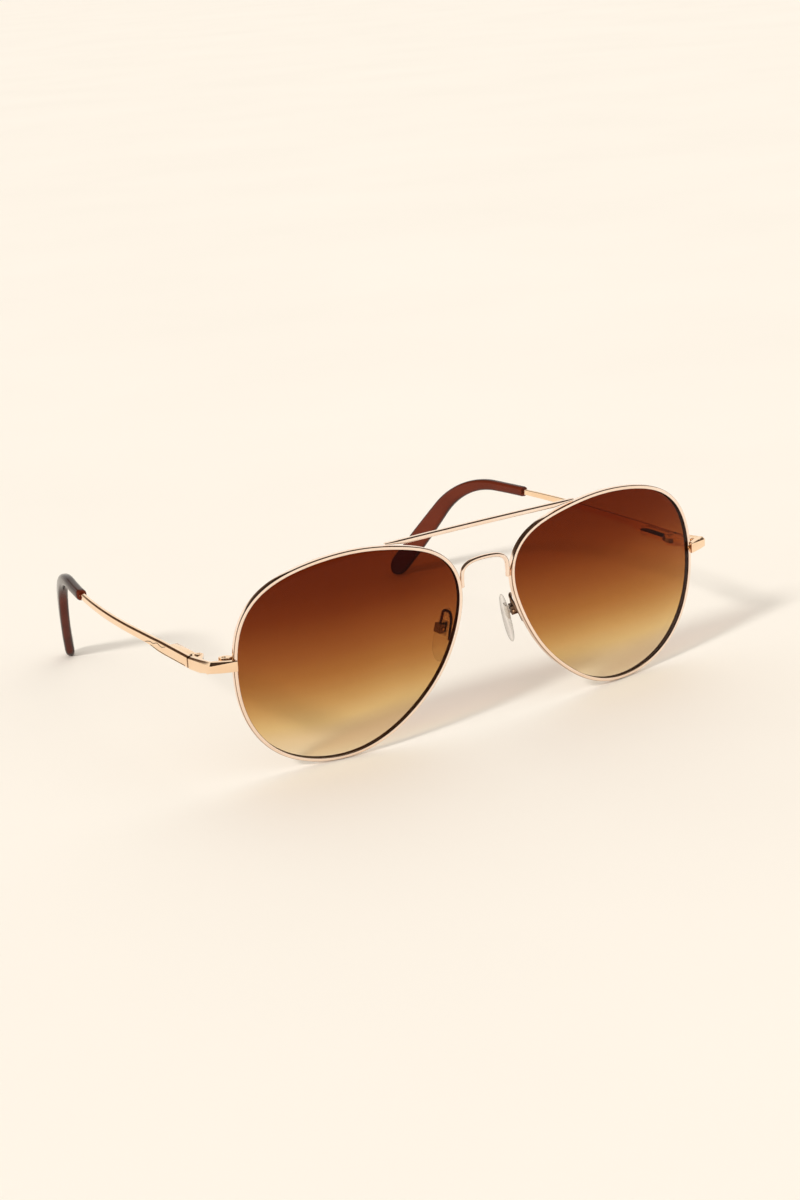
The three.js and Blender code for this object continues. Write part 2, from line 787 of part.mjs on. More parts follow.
const makePadScrew = () =>
  onPadScrew(
    screw({
      shankRadius: PAD_SCREW_RADIUS,
      headRadius: 0.6,
      headTop: 1.4,
      headHeight: 0.35,
      tip: -1.2,
    }),
  );

function padMatrix() {
  const facing = v3(-Math.cos(PAD_FRONTAL_ANGLE), Math.sin(PAD_FRONTAL_ANGLE), 0);
  facing.addScaledVector(PAD_UP, -facing.dot(PAD_UP)).normalize();
  const across = PAD_UP.clone().cross(facing);
  return new THREE.Matrix4()
    .makeBasis(facing, across, PAD_UP)
    .setPosition(...PAD_CENTRE);
}

// The arm starts on the back of the rim, runs up, loops over and comes down into the box.
function makePadArm() {
  const aboveBox = (distance) =>
    v3(-2.1, 0, PAD_MOUNT_HEIGHT + 1.2 + distance).applyMatrix4(padMatrix());
  const path = new THREE.CatmullRomCurve3([
    ...PAD_ARM_PATH.map((point) => v3(...point)),
    aboveBox(1.6),
    aboveBox(0),
  ]);
  return sweep(path, PAD_ARM_RADIUS, 20, 8);
}

// ---- Assembly ----

const glasses = new THREE.Group();
glasses.rotation.x = REST_TILT;

function addMesh(group, name, geometry, material) {
  const mesh = new THREE.Mesh(geometry, material);
  mesh.name = name;
  group.add(mesh);
}

function addSide(sideName, mirror) {
  const side = new THREE.Group();
  side.scale.x = mirror;
  glasses.add(side);
  const add = (group, name, geometry, material) =>
    addMesh(group, `${name}_${sideName}`, geometry, material);

  const eye = new THREE.Group();
  eye.position.x = LENS_CENTRE_X;
  eye.rotation.z = LENS_WRAP;
  side.add(eye);
  add(eye, "rim", makeRim(), roseGold);
  add(eye, "lens", makeLens(), lensTint);

  const upperBottom = RIM_SPLIT_HEIGHT + RIM_SPLIT_GAP / 2;
  const lowerTop = RIM_SPLIT_HEIGHT - RIM_SPLIT_GAP / 2;
  const threadRadius = LUG_SCREW_RADIUS + JOINT_GAP;
  const clearRadius = LUG_SCREW_RADIUS + LUG_THREAD_CLEARANCE;
  add(side, "rim_lug_upper", makeLug(upperBottom, LUG_TOP, threadRadius), roseGold);
  add(side, "rim_lug_lower", makeLug(LUG_BOTTOM, lowerTop, clearRadius), roseGold);
  add(side, "rim_lock_screw", makeLockScrew(), screwMetal);
  add(side, "endpiece", makeEndpiece(), roseGold);

  const hinge = new THREE.Group();
  hinge.position.set(...PIN_POSITION);
  hinge.rotation.x = -TEMPLE_SLOPE;
  side.add(hinge);
  add(hinge, "hinge_leaf", makeHingeLeaf(), roseGold);
  add(hinge, "hinge_screw", makeHingeScrew(), screwMetal);
  add(hinge, "hinge_slider", makeSlider(), springSteel);
  add(hinge, "slider_nut", makeRetainer(), springSteel);
  add(hinge, "hinge_spring", makeSpring(), springSteel);
  add(hinge, "spring_case", makeSpringCase(), roseGold);
  add(hinge, "temple", makeTemple(), roseGold);
  add(hinge, "temple_tip", makeTip(), tipPlastic);

  const pad = new THREE.Group();
  pad.applyMatrix4(padMatrix());
  side.add(pad);
  add(pad, "nose_pad", makePad(), clearSilicone);
  add(pad, "pad_core", makePadCore(), coreMetal);
  add(pad, "pad_box", makePadBox(), roseGold);
  add(pad, "pad_screw", makePadScrew(), screwMetal);
  add(side, "pad_arm", makePadArm(), roseGold);
}

addMesh(glasses, "bridge", makeBridge(), roseGold);
addMesh(glasses, "top_bar", makeTopBar(), roseGold);
addSide("left", 1);
addSide("right", -1);

// Put the lowest points on Z = 0, with the origin under the middle of the glasses.
const bounds = new THREE.Box3().setFromObject(glasses, true);
const middle = bounds.getCenter(v3(0, 0, 0));
glasses.position.set(-middle.x, -middle.y, -bounds.min.z);

const assembly = new THREE.Group();
assembly.add(glasses);

export default assembly;
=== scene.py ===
"""Looks of the metal aviator sunglasses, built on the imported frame."""

import json
import math

import bmesh
import bpy
import numpy as np
from mathutils import Matrix, Vector


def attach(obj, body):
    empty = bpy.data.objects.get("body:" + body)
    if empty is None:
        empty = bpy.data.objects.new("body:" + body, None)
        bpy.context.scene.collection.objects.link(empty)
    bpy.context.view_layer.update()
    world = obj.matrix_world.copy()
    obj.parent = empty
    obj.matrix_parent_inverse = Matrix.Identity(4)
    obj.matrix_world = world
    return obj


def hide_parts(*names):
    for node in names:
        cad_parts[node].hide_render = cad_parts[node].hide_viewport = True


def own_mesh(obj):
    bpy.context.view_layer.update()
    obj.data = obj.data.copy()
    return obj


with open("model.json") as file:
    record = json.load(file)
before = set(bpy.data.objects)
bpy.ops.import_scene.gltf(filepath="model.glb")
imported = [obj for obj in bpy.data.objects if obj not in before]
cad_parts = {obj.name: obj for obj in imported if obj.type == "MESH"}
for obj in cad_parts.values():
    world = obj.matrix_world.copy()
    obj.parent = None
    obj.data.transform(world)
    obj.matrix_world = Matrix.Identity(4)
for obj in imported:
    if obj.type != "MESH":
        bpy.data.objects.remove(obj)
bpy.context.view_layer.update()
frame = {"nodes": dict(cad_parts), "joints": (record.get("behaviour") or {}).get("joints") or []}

# ---- Dimensions in millimetres, in the upright frame of the front ----

REST_TILT = math.radians(2.984)
PIN = np.array([69.65, 18.0, 1.95])
TEMPLE_SLOPE = math.radians(1.0)

LENS_CENTRE_X = 37.3
LENS_WRAP = math.radians(5.8)
LENS_RADIUS = 120.0
LENS_THICKNESS = 1.3
BEVEL_HEIGHT = 0.35
LENS_OUTLINE = [
    (29.0, 0.4), (27.8, 10.1), (24.9, 15.8), (19.9, 20.0), (10.3, 23.4), (0.3, 24.5),
    (-10.0, 23.8), (-20.4, 21.0), (-25.7, 17.7), (-28.5, 13.1), (-28.8, 6.4), (-24.1, -5.8),
    (-17.5, -14.0), (-9.1, -20.5), (2.3, -24.4), (15.0, -22.6), (22.6, -17.6), (27.4, -9.4),
]
OUTLINE_HARMONICS = 9
OUTLINE_STEPS = 288

RIM_WIDTH = 0.90
RIM_DEPTH = 1.56
RIM_SPLIT_HEIGHT = 3.5
RIM_SPLIT_GAP = 0.3
RIM_ROUND = 0.30
RIM_ROUND_STEPS = 5
# Section faces of the rim given the darkened gold: the outer half of its front outer rounding, a
# painted shade line.
RIM_SHADE_LINE_FACES = (3, 4, 5)
# Rounding of the rim's two inner lips: distance outwards, and depth in from the wire's face.
RIM_LIP = [(0.08, 0), (0.02, 0.05), (0, 0.12)]
GROOVE_DEPTH = 0.45
GROOVE_HALF = 0.4

TEMPLE_X = 2.15
BOW_START = 30.0
BOW_RADIUS = 220.0
BEND_START = 77.0
BEND_RADIUS = 28.0
BEND_ANGLE = math.radians(50)
TEMPLE_LENGTH = 129.74
TIP_LEAN = 1.8
TIP_START = 65.5

PAD_CENTRE = np.array([9.3, 6.3, -2.75])
PAD_UP = np.array([-0.245, -0.08, 0.966])
PAD_FRONTAL_ANGLE = math.radians(15)
PAD_LENGTH = 13.6
PAD_WIDTH = 5.4
PAD_MOUNT_HEIGHT = 1.9

SIDES = {"left": 1, "right": -1}


# ---- From a local frame to the row frame, both in millimetres ----


def turned(points, axis, angle):
    """Points turned about a coordinate axis through the origin."""
    c, s = math.cos(angle), math.sin(angle)
    a, b = [(1, 2), (2, 0), (0, 1)][axis]
    out = np.array(points, float)
    first, second = out[..., a].copy(), out[..., b].copy()
    out[..., a] = c * first - s * second
    out[..., b] = s * first + c * second
    return out


fold = next(j for j in frame["joints"] if j["name"] == "left_temple_fold")
PLACE = np.array(fold["pos_m"]) * 1000 - turned(PIN, 0, REST_TILT)


def from_front(points, side=1):
    """The front's upright frame; the right side mirrors the left."""
    return turned(np.array(points, float) * [side, 1, 1], 0, REST_TILT) + PLACE


def from_eye(points, side=1):
    return from_front(turned(points, 2, LENS_WRAP) + [LENS_CENTRE_X, 0, 0], side)


def from_hinge(points, side=1):
    return from_front(turned(points, 0, -TEMPLE_SLOPE) + PIN, side)


def pad_axes():
    up = PAD_UP / np.linalg.norm(PAD_UP)
    facing = np.array([-math.cos(PAD_FRONTAL_ANGLE), math.sin(PAD_FRONTAL_ANGLE), 0])
    facing = facing - up * (facing @ up)
    facing /= np.linalg.norm(facing)
    return np.array([facing, np.cross(up, facing), up])


def from_pad(points, side=1):
    return from_front(np.array(points, float) @ pad_axes() + PAD_CENTRE, side)


# ---- Meshes ----


def make_piece(name, points, faces, body, replaced, material, sharp=40):
    """A piece from millimetre points in the row frame, riding a body in a node's place."""
    mesh = bpy.data.meshes.new(name)
    mesh.from_pydata((np.array(points) / 1000).tolist(), [], [list(f) for f in faces])
    bm = bmesh.new()
    bm.from_mesh(mesh)
    bmesh.ops.recalc_face_normals(bm, faces=bm.faces)
    for face in bm.faces:
        face.smooth = True
    for edge in bm.edges:
        if len(edge.link_faces) == 2 and edge.calc_face_angle() > math.radians(sharp):
            edge.smooth = False
    bm.to_mesh(mesh)
    bm.free()
    piece = bpy.data.objects.new(name, mesh)
    bpy.context.scene.collection.objects.link(piece)
    mesh.materials.append(material)
    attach(piece, body)
    if replaced:
        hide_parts(*replaced)
    return piece


def loft(rings):
    """Points and faces through rings of equal length; the first and the last ring are closed."""
    rings = np.array(rings)
    count, size = rings.shape[:2]
    faces = []
    for r in range(count - 1):
        here, beyond = r * size, (r + 1) * size
        for i in range(size):
            j = (i + 1) % size
            faces.append((here + i, here + j, beyond + j, beyond + i))
    faces.append(range(size))
    faces.append(range((count - 1) * size, count * size))
    return rings.reshape(-1, 3), faces


SHORTEST = 1e-6
CURVE_SAMPLES = 40


def catmull_rom(points, closed=False):
    """A dense centripetal Catmull-Rom curve through points."""
    points = np.array(points, float)
    if closed:
        padded = np.vstack([points[-1:], points, points[:2]])
    else:
        padded = np.vstack([2 * points[0] - points[1], points, 2 * points[-1] - points[-2]])
    curve = []
    t = np.linspace(0, 1, CURVE_SAMPLES, endpoint=False)[:, None]
    for p0, p1, p2, p3 in zip(padded, padded[1:], padded[2:], padded[3:]):
        chords = (p1 - p0, p2 - p1, p3 - p2)
        d0, d1, d2 = (math.sqrt(max(np.linalg.norm(chord), SHORTEST)) for chord in chords)
        start = ((p1 - p0) / d0 - (p2 - p0) / (d0 + d1) + (p2 - p1) / d1) * d1
        end = ((p2 - p1) / d1 - (p3 - p1) / (d1 + d2) + (p3 - p2) / d2) * d1
        curve.append(
            p1 + start * t + (3 * (p2 - p1) - 2 * start - end) * t**2
            + (2 * (p1 - p2) + start + end) * t**3
        )
    curve = np.vstack(curve)
    return curve if closed else np.vstack([curve, points[-1]])


def spaced(curve, count):
    """A curve resampled at equal steps along its length."""
    steps = np.linalg.norm(np.diff(curve, axis=0), axis=1)
    along = np.concatenate([[0], np.cumsum(steps)])
    wanted = np.linspace(0, along[-1], count)
    return np.stack([np.interp(wanted, along, curve[:, k]) for k in range(3)], 1)


def circle(radius, count, start=0.0):
    angles = np.linspace(start, start + 2 * math.pi, count, endpoint=False)
    return radius * np.stack([np.cos(angles), np.sin(angles)], 1)


def rounded_rectangle(half_wide, half_high, radius, steps):
    """Corner-rounded section, counter-clockwise from the lower right."""
    radius = min(radius, half_wide, half_high)
    points = []
    for quarter, (sx, sy) in enumerate([(1, -1), (1, 1), (-1, 1), (-1, -1)]):
        centre = np.array([sx * (half_wide - radius), sy * (half_high - radius)])
        for i in range(steps + 1):
            angle = math.radians(90 * (quarter - 1 + i / steps))
            points.append(centre + radius * np.array([math.cos(angle), math.sin(angle)]))
    return np.array(points)


def softened(corners, radii, steps, closed=True):
    """An outline with its corners rounded; an open one runs square into its first and last."""
    corners = [np.array(c, float) for c in corners]
    if closed:
        line = [corners[-1], *corners, corners[0]]
    else:
        (ax, ay), (bx, by) = corners[0], corners[-1]
        line = [np.array([ax - 1, ay]), *corners, np.array([bx - 1, by])]
    trios = zip(line, line[1:], line[2:])
    points = []
    for (before, corner, after), r in zip(trios, radii):
        back = (before - corner) / np.linalg.norm(before - corner)
        on = (after - corner) / np.linalg.norm(after - corner)
        for t in np.linspace(0, 1, steps + 1):
            turn = t * math.pi / 2
            points.append(corner + back * r * (1 - math.sin(turn)) + on * r * (1 - math.cos(turn)))
    return points


def sweep(curve, section, first=(0, 1, 0)):
    """Rings of a section carried along a curve without twisting."""
    tangents = np.gradient(curve, axis=0)
    tangents /= np.linalg.norm(tangents, axis=1)[:, None]
    side = np.array(first, float)
    rings = []
    for point, tangent in zip(curve, tangents):
        side = side - tangent * (side @ tangent)
        side /= np.linalg.norm(side)
        other = np.cross(tangent, side)
        rings.append(point + section[:, :1] * side + section[:, 1:] * other)
    return np.array(rings)


def tapered_ends(rings, length, least):
    """Rings drawn in round their middles at both ends, so that a wire ends in a soft nose."""
    middles = rings.mean(1, keepdims=True)
    steps = np.linalg.norm(np.diff(middles[:, 0], axis=0), axis=1)
    along = np.concatenate([[0], np.cumsum(steps)])
    near = np.minimum(along, along[-1] - along) / length
    share = least + (1 - least) * np.sqrt(np.clip(1 - (1 - np.clip(near, 0, 1)) ** 2, 0, 1))
    return middles + (rings - middles) * share[:, None, None]


MERGE_DISTANCE = 1e-6
COPLANAR = math.radians(2)
BEVELLED_FROM = math.radians(35)
BEVEL_SEGMENTS = 3


def bevelled_copy(node, name, body, material, width):
    """A node's own shape with its edges rounded, as a new piece in the node's place."""
    mesh = frame["nodes"][node].data.copy()
    mesh.name = name
    mesh.materials.clear()
    mesh.materials.append(material)
    bm = bmesh.new()
    bm.from_mesh(mesh)
    bmesh.ops.remove_doubles(bm, verts=bm.verts, dist=MERGE_DISTANCE)
    bmesh.ops.dissolve_limit(bm, angle_limit=COPLANAR, verts=bm.verts, edges=bm.edges)
    for face in bm.faces:
        face.smooth = True
        face.material_index = 0
    bm.to_mesh(mesh)
    bm.free()
    if "sharp_edge" in mesh.attributes:
        mesh.attributes.remove(mesh.attributes["sharp_edge"])
    piece = bpy.data.objects.new(name, mesh)
    bpy.context.scene.collection.objects.link(piece)
    bevel = piece.modifiers.new("edges", "BEVEL")
    bevel.width = width / 1000
    bevel.segments = BEVEL_SEGMENTS
    bevel.limit_method = "ANGLE"
    bevel.angle_limit = BEVELLED_FROM
    bevel.harden_normals = True
    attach(piece, body)
    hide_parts(node)


# ---- Materials ----


def new_material(name):
    material = bpy.data.materials.new(name)
    material.use_nodes = True
    return material, material.node_tree, material.node_tree.nodes["Principled BSDF"]


def node(tree, kind, **values):
    """A shader node with its properties or input values set."""
    made = tree.nodes.new(kind)
    for key, value in values.items():
        if hasattr(made, key):
            setattr(made, key, value)
        else:
            made.inputs[key.replace("_", " ")].default_value = value
    return made


def noise(tree, scale, detail, stretch=None):
    """A noise pattern that stays on the object, with features of about 1/scale metre."""
    place = node(tree, "ShaderNodeTexCoord")
    pattern = node(tree, "ShaderNodeTexNoise", Scale=scale, Detail=detail)
    if stretch:
        mapping = node(tree, "ShaderNodeMapping", Scale=stretch)
        tree.links.new(place.outputs["Object"], mapping.inputs["Vector"])
        tree.links.new(mapping.outputs["Vector"], pattern.inputs["Vector"])
    else:
        tree.links.new(place.outputs["Object"], pattern.inputs["Vector"])
    return pattern.outputs["Fac"]


# Nearly all of a noise pattern's values lie between these two.
NOISE_LOW = 0.3
NOISE_HIGH = 0.7


def ranged(tree, value, low, high, start=NOISE_LOW, end=NOISE_HIGH):
    """A pattern's values from start to end spread over low to high."""
    spread = node(tree, "ShaderNodeMapRange", From_Min=start, From_Max=end, To_Min=low, To_Max=high)
    tree.links.new(value, spread.inputs["Value"])
    return spread.outputs["Result"]


def colour_between(tree, value, first, second):
    mix = node(tree, "ShaderNodeMix", data_type="RGBA")
    mix.inputs[6].default_value = (*first, 1)
    mix.inputs[7].default_value = (*second, 1)
    tree.links.new(value, mix.inputs[0])
    return mix.outputs[2]


def colour_ramp(tree, value, stops):
    ramp = node(tree, "ShaderNodeValToRGB")
    elements = ramp.color_ramp.elements
    while len(elements) < len(stops):
        elements.new(0.5)
    for element, (at, colour) in zip(elements, stops):
        element.position = at
        element.color = (*colour, 1)
    tree.links.new(value, ramp.inputs["Fac"])
    return ramp.outputs["Color"]


def combined(tree, operation, first, second):
    result = node(tree, "ShaderNodeMath", operation=operation)
    tree.links.new(first, result.inputs[0])
    tree.links.new(second, result.inputs[1])
    return result.outputs[0]


def edge_on(tree):
    """0 where the surface faces the view, rising to 1 where the view grazes it."""
    return node(tree, "ShaderNodeLayerWeight", Blend=0.5).outputs["Facing"]


def add_bump(tree, shader, height, distance):
    bump = node(tree, "ShaderNodeBump", Distance=distance)
    tree.links.new(height, bump.inputs["Height"])
    tree.links.new(bump.outputs["Normal"], shader.inputs["Normal"])


def make_clear(tree, tint, sharpness, least, most):
    """Tinted and see-through, more of a mirror where the view grazes it. Returns the mirror."""
    tree.nodes.remove(tree.nodes["Principled BSDF"])
    through = node(tree, "ShaderNodeBsdfTransparent")
    tree.links.new(tint, through.inputs["Color"])
    mirror = node(tree, "ShaderNodeBsdfGlossy")
    grazing = node(tree, "ShaderNodeMath", operation="POWER")
    grazing.inputs[1].default_value = sharpness
    tree.links.new(edge_on(tree), grazing.inputs[0])
    mix = node(tree, "ShaderNodeMixShader")
    tree.links.new(ranged(tree, grazing.outputs[0], least, most, 0, 1), mix.inputs["Fac"])
    tree.links.new(through.outputs[0], mix.inputs[1])
    tree.links.new(mirror.outputs[0], mix.inputs[2])
    tree.links.new(mix.outputs[0], tree.nodes["Material Output"].inputs["Surface"])
    return mirror


# Patches of tone, of polish and of ripple in the plating, in features per metre, and the
# ripple's height in metres.
PLATING_TONE = 90
PLATING_POLISH = 700
PLATING_RIPPLE = 1400
RIPPLE_HEIGHT = 1.2e-6


def plated_metal(name, pale, deep, rough_low, rough_high):
    material, tree, shader = new_material(name)
    shader.inputs["Metallic"].default_value = 1
    tone = ranged(tree, noise(tree, PLATING_TONE, 2), 0, 1)
    tree.links.new(colour_between(tree, tone, pale, deep), shader.inputs["Base Color"])
    polish = ranged(tree, noise(tree, PLATING_POLISH, 5), rough_low, rough_high)
    tree.links.new(polish, shader.inputs["Roughness"])
    add_bump(tree, shader, noise(tree, PLATING_RIPPLE, 4), RIPPLE_HEIGHT)
    return material


rose_gold = plated_metal("rose_gold", (1.00, 0.84, 0.73), (0.97, 0.78, 0.64), 0.06, 0.12)
temple_gold = plated_metal("temple_gold", (1.00, 0.76, 0.54), (0.96, 0.69, 0.46), 0.07, 0.14)
# Painted shade: a darkened copy of the gold, for the dark line on the rims' outer front rounding and
# for the two faces of the gap between endpiece and temple.
painted_shade_gold = plated_metal("painted_shade_gold", (0.36, 0.21, 0.13), (0.26, 0.14, 0.08), 0.15, 0.25)
# Painted shade: a darkened copy of the gold for the pad arms and the pad boxes.
arm_painted_shade_gold = plated_metal("arm_painted_shade_gold", (0.24, 0.15, 0.10), (0.15, 0.09, 0.06), 0.18, 0.30)
screw_metal = plated_metal("screw_metal", (0.90, 0.66, 0.48), (0.80, 0.55, 0.38), 0.16, 0.28)
spring_steel = plated_metal("spring_steel", (0.58, 0.57, 0.55), (0.45, 0.44, 0.43), 0.25, 0.4)
core_metal = plated_metal("core_metal", (0.75, 0.70, 0.64), (0.60, 0.55, 0.50), 0.18, 0.3)

# Base colour of the tips, and what the clear pads let through, from facing the view to edge-on; their
# darkening towards edge-on is painted shade.
TIP_TONES_AND_EDGE_SHADE = [
    (0.15, (0.135, 0.0240, 0.0100)), (0.42, (0.098, 0.0165, 0.0070)),
    (0.57, (0.062, 0.0110, 0.0050)), (0.70, (0.024, 0.0060, 0.0035)),
    (1.00, (0.012, 0.0035, 0.0025)),
]
PAD_CLEARNESS_AND_EDGE_SHADE = [
    (0.00, (0.98, 0.975, 0.97)), (0.50, (0.94, 0.93, 0.925)), (0.75, (0.74, 0.72, 0.71)),
    (1.00, (0.30, 0.28, 0.27)),
]
TIP_IOR = 1.48
TIP_GLOSS = 0.13
TIP_RIPPLE_HEIGHT = 2e-6
# How sharply a clear material's mirror rises towards grazing, then its least and most share.
PAD_MIRROR = (4, 0.03, 0.5)
LENS_MIRROR = (5, 0.006, 0.6)


def tip_acetate():
    """Dark red-brown polished acetate with faint cloudy streaks, and painted shade that darkens it
    where the view grazes its rounded edges.
    """
    material, tree, shader = new_material("tip_acetate")
    cloud = ranged(tree, noise(tree, 160, 4, (1, 0.35, 1)), -0.1, 0.1)
    # Painted edge shade by facing angle, plus the cloudy streaks.
    depth = combined(tree, "ADD", edge_on(tree), cloud)
    tree.links.new(colour_ramp(tree, depth, TIP_TONES_AND_EDGE_SHADE), shader.inputs["Base Color"])
    tree.links.new(ranged(tree, noise(tree, 900, 4), 0.08, 0.16), shader.inputs["Roughness"])
    shader.inputs["IOR"].default_value = TIP_IOR
    shader.inputs["Specular IOR Level"].default_value = TIP_GLOSS
    add_bump(tree, shader, noise(tree, 1100, 3), TIP_RIPPLE_HEIGHT)
    return material


def clear_silicone():
    """Clear and colourless, more mirror-like where the view grazes it, with painted shade that greys
    it there.
    """
    material, tree, _ = new_material("clear_silicone")
    cloud = ranged(tree, noise(tree, 350, 3), -0.05, 0.05)
    # Painted edge shade by facing angle, plus faint clouds.
    depth = combined(tree, "ADD", edge_on(tree), cloud)
    mirror = make_clear(tree, colour_ramp(tree, depth, PAD_CLEARNESS_AND_EDGE_SHADE), *PAD_MIRROR)
    tree.links.new(ranged(tree, noise(tree, 800, 3), 0.06, 0.16), mirror.inputs["Roughness"])
    return material


# How the tint lightens down the lens: height in millimetres, then what the lens lets through.
LENS_TINT = [
    (24, (0.118, 0.015, 0.0030)), (18, (0.135, 0.020, 0.0036)), (13, (0.172, 0.031, 0.0058)),
    (8, (0.238, 0.060, 0.0128)), (3, (0.308, 0.097, 0.0232)), (-2, (0.392, 0.155, 0.0395)),
    (-6, (0.482, 0.236, 0.0720)), (-10, (0.605, 0.362, 0.1330)), (-14, (0.730, 0.515, 0.2350)),
    (-18, (0.815, 0.640, 0.3900)), (-24, (0.900, 0.800, 0.6100)),
]
TINT_REACH = 25
TINT_DRIFT = 0.0008
LENS_POLISH = 0.04


def graduated_lens():
    """Each of the lens's two faces passes the square root of the tint, and mirrors a little."""
    material, tree, _ = new_material("graduated_lens")
    place = node(tree, "ShaderNodeTexCoord")
    split = node(tree, "ShaderNodeSeparateXYZ")
    tree.links.new(place.outputs["Object"], split.inputs["Vector"])
    low = float(from_front([LENS_CENTRE_X, 0, -TINT_REACH])[2]) / 1000
    high = float(from_front([LENS_CENTRE_X, 0, TINT_REACH])[2]) / 1000
    drift = ranged(tree, noise(tree, 25, 2), -TINT_DRIFT, TINT_DRIFT)
    height = combined(tree, "ADD", split.outputs["Z"], drift)
    up = ranged(tree, height, 0, 1, low, high)
    stops = [
        ((h + TINT_REACH) / (2 * TINT_REACH), [math.sqrt(c) for c in colour])
        for h, colour in reversed(LENS_TINT)
    ]
    mirror = make_clear(tree, colour_ramp(tree, up, stops), *LENS_MIRROR)
    mirror.inputs["Roughness"].default_value = LENS_POLISH
    return material


def ground_edge():
    """The lens's ground edge; its dark brown is partly the tint that the light in it has crossed and
    partly painted shade for the shadow it lies in inside the rim.
    """
    material, tree, shader = new_material("ground_lens_edge")
    tone = ranged(tree, noise(tree, 400, 3), 0, 1)
    tree.links.new(
        colour_between(tree, tone, (0.030, 0.010, 0.004), (0.055, 0.020, 0.008)),
        shader.inputs["Base Color"],
    )
    tree.links.new(ranged(tree, noise(tree, 2500, 4), 0.45, 0.7), shader.inputs["Roughness"])
    shader.inputs["Specular IOR Level"].default_value = 0.2
    return material


# Painted shade: dark metal for the flourish lines, standing in for the shade in the engraved grooves.
def engraved_line_shade():
    material, tree, shader = new_material("engraved_line_shade")
    tone = ranged(tree, noise(tree, 900, 3), 0, 1)
    tree.links.new(
        colour_between(tree, tone, (0.10, 0.045, 0.020), (0.20, 0.10, 0.05)),
        shader.inputs["Base Color"],
    )
    shader.inputs["Metallic"].default_value = 1
    tree.links.new(ranged(tree, noise(tree, 1800, 3), 0.35, 0.55), shader.inputs["Roughness"])
    return material


acetate = tip_acetate()
silicone = clear_silicone()
lens_tint = graduated_lens()
lens_edge = ground_edge()
groove_shade_metal = engraved_line_shade()

# ---- Rims and lenses ----


def smooth_outline():
    """The lens opening's outline as evenly spaced points, with only its slow waves kept."""
    curve = catmull_rom([(u, v, 0) for u, v in LENS_OUTLINE], closed=True)
    curve = spaced(np.vstack([curve, curve[:1]]), OUTLINE_STEPS + 1)[:-1]
    waves = np.fft.fft(curve[:, 0] + 1j * curve[:, 1])
    order = np.abs(np.fft.fftfreq(len(waves), 1 / len(waves)))
    waves[order > OUTLINE_HARMONICS] = 0
    smooth = np.fft.ifft(waves)
    points = np.stack([smooth.real, smooth.imag], 1)
    ahead, behind = np.roll(points, -1, 0), np.roll(points, 1, 0)
    tangent = ahead - behind
    tangent /= np.linalg.norm(tangent, axis=1)[:, None]
    return points, np.stack([tangent[:, 1], -tangent[:, 0]], 1)


def sag(points):
    """How far the curved lens falls back at points of its outline."""
    return (points**2).sum(-1) / (2 * LENS_RADIUS)


outline, outward = smooth_outline()


def ring_at(distance, depth, points=outline, normals=outward):
    """The outline moved outwards by a distance, at a depth behind the lens's middle surface."""
    moved = points + normals * distance
    return np.stack([moved[:, 0], sag(points) + depth, moved[:, 1]], 1)


def rim_section():
    """The wire's section as distance outside the outline and depth: rounded, grooved inside."""
    half = RIM_DEPTH / 2
    corners = [(RIM_WIDTH, -half), (RIM_WIDTH, half)]
    outside = softened(corners, [RIM_ROUND] * 2, RIM_ROUND_STEPS, closed=False)
    front_lip = [(out, depth - half) for out, depth in RIM_LIP]
    back_lip = [(out, half - depth) for out, depth in RIM_LIP]
    groove = [(0, GROOVE_HALF), (GROOVE_DEPTH, 0), (0, -GROOVE_HALF)]
    return [front_lip[0], *outside, *back_lip, *groove, *front_lip[:0:-1]]


def make_rim(name, side):
    """The rim wire, split at its outer side; its outer front rounding is painted shade in darkened
    gold.
    """
    gap = (outline[:, 0] > 0) & (np.abs(outline[:, 1] - RIM_SPLIT_HEIGHT) < RIM_SPLIT_GAP)
    order = np.roll(np.arange(OUTLINE_STEPS), -int(np.flatnonzero(gap)[-1]) - 1)
    order = order[~gap[order]]
    rings = [ring_at(d, y, outline[order], outward[order]) for d, y in rim_section()]
    points, faces = loft(np.array(rings).transpose(1, 0, 2))
    rim = make_piece(
        f"rim_wire_{name}", from_eye(points, side), faces, "front", [f"rim_{name}"], rose_gold,
    )
    # Painted shade line on the rim's outer front rounding.
    rim.data.materials.append(painted_shade_gold)
    for face in rim.data.polygons[:-2]:
        if face.index % len(rings) in RIM_SHADE_LINE_FACES:
            face.material_index = 1


LENS_SHARES = np.linspace(0.04, 0.985, 24)
# The lens's ground edge: distance outside the outline, then depth.
LENS_EDGE = [(-0.06, -0.60), (-0.05, -0.39), (BEVEL_HEIGHT, 0), (-0.05, 0.39), (-0.06, 0.60)]


def lens_face(depth):
    """Rings of one face of the lens, from its middle outwards."""
    return [
        np.stack([outline[:, 0] * s, sag(outline * s) + depth, outline[:, 1] * s], 1)
        for s in LENS_SHARES
    ]


def make_lens(name, side):
    front = lens_face(-LENS_THICKNESS / 2)
    edge = [ring_at(out, depth) for out, depth in LENS_EDGE]
    back = lens_face(LENS_THICKNESS / 2)
    points, faces = loft(front + edge + back[::-1])
    lens = make_piece(
        f"lens_shell_{name}", from_eye(points, side), faces, "front", [f"lens_{name}"], lens_tint,
    )
    # The ground edge faces take the dark edge material: tint in part, painted shade in part.
    lens.data.materials.append(lens_edge)
    first = len(front) * OUTLINE_STEPS
    last = (len(front) + len(edge) - 1) * OUTLINE_STEPS
    for face in lens.data.polygons[first:last]:
        face.material_index = 1


# ---- Endpieces ----

